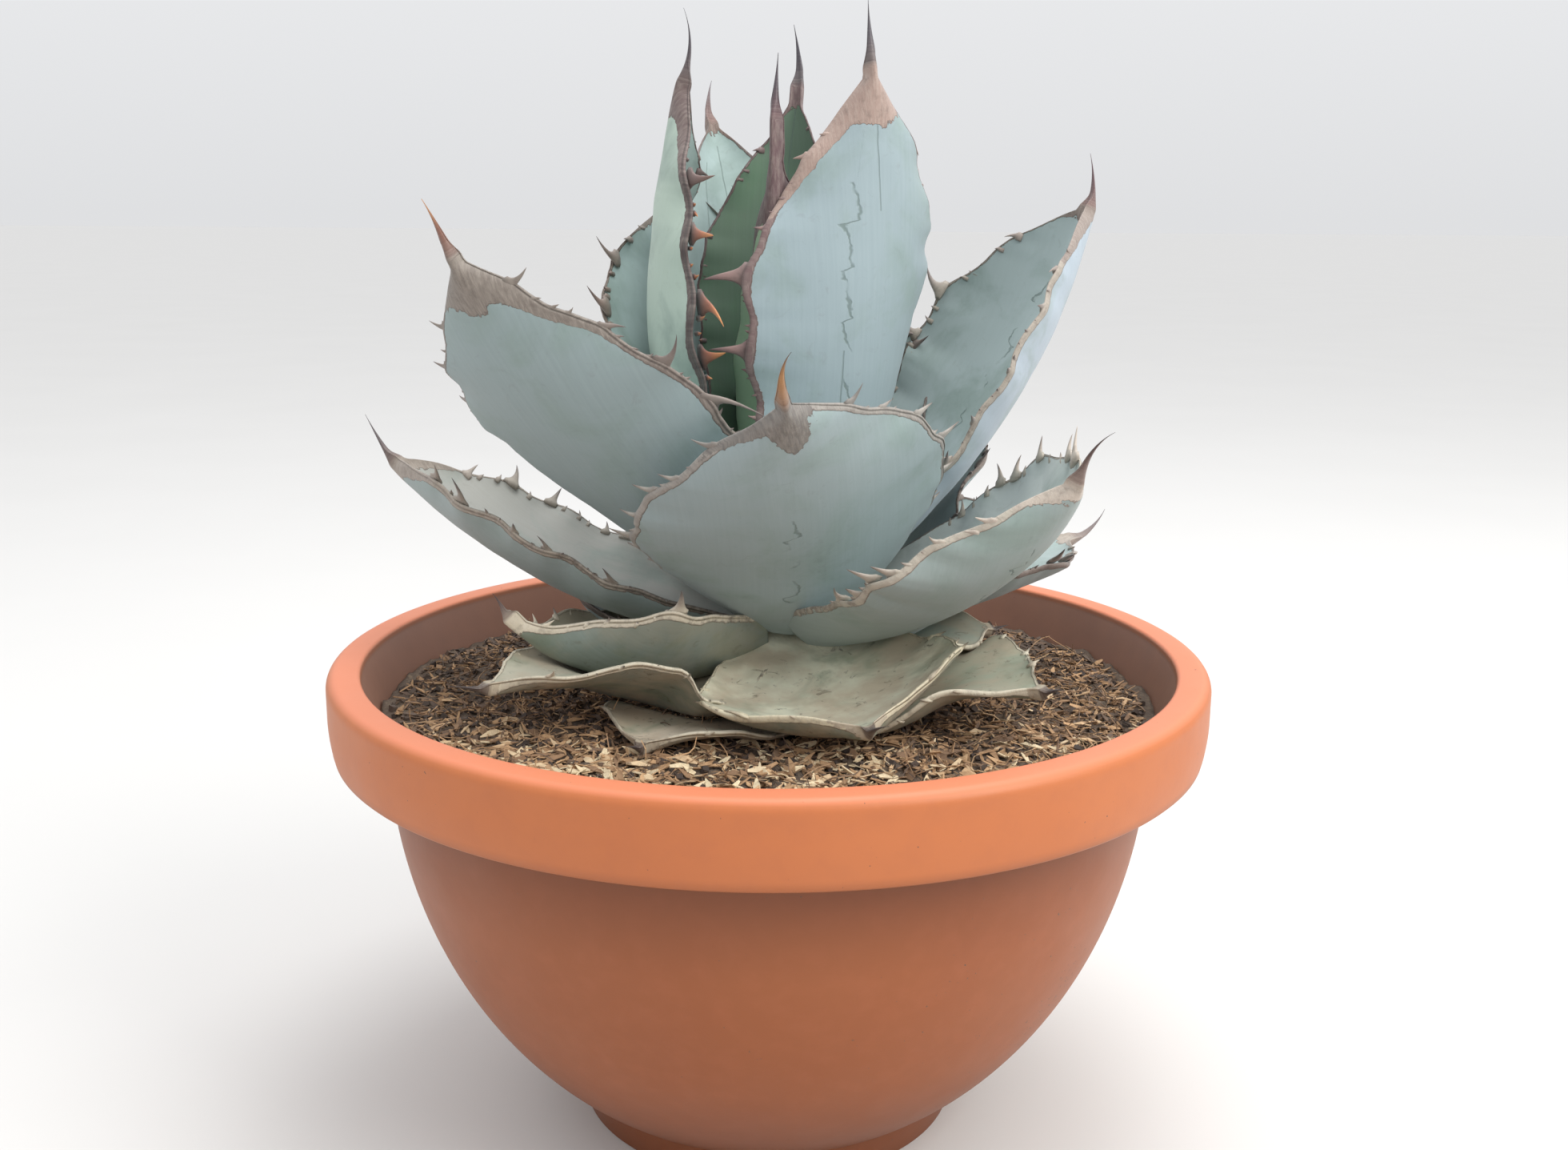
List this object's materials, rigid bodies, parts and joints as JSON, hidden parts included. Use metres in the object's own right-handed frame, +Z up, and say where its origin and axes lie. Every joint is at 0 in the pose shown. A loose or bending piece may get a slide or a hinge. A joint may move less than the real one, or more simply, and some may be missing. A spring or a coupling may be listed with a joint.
{
  "type": "potted agave titanota",
  "caption": "Rosette of thick blue-grey succulent leaves with toothed horny margins and long end spines, in a round bowl pot.",
  "frame": {"origin": "on the ground, under the middle of the pot", "axes": "+Z up, -Y towards the viewer, +X to the viewer's right"},
  "size_m": [0.4, 0.4, 0.5057],
  "materials": {
    "pot_plastic": "satin terracotta-coloured moulded plastic",
    "potting_mix": "dark coir and bark potting mix",
    "stem": "pale living stem",
    "leaf": "glaucous blue-grey waxy leaf",
    "old_leaf": "olive to tan ageing leaf",
    "young_leaf": "deeper green young leaf"
  },
  "bodies": {
    "root": {"pot": "pot_plastic", "soil": "potting_mix", "stem": "stem", "leaf_bud": "young_leaf", "leaf_centre_back": "young_leaf", "leaf_tall_back_left": "leaf", "leaf_tall_right": "leaf", "leaf_tall_left": "leaf", "leaf_upper_back_left": "leaf", "leaf_upper_right": "leaf", "leaf_upper_back": "leaf", "leaf_upper_left": "leaf", "leaf_front": "leaf", "leaf_middle_right": "leaf", "leaf_middle_back_right": "leaf", "leaf_middle_left": "leaf", "leaf_middle_back": "leaf", "leaf_lower_left": "old_leaf", "leaf_low_front": "old_leaf", "leaf_lower_right": "leaf", "leaf_small_right": "old_leaf", "leaf_lower_back": "leaf", "leaf_lower_back_left": "leaf", "leaf_low_right": "old_leaf", "leaf_low_left": "old_leaf", "leaf_low_back_right": "old_leaf", "leaf_low_back_left": "old_leaf", "leaf_low_front_left": "old_leaf"}
  },
  "joints": []
}
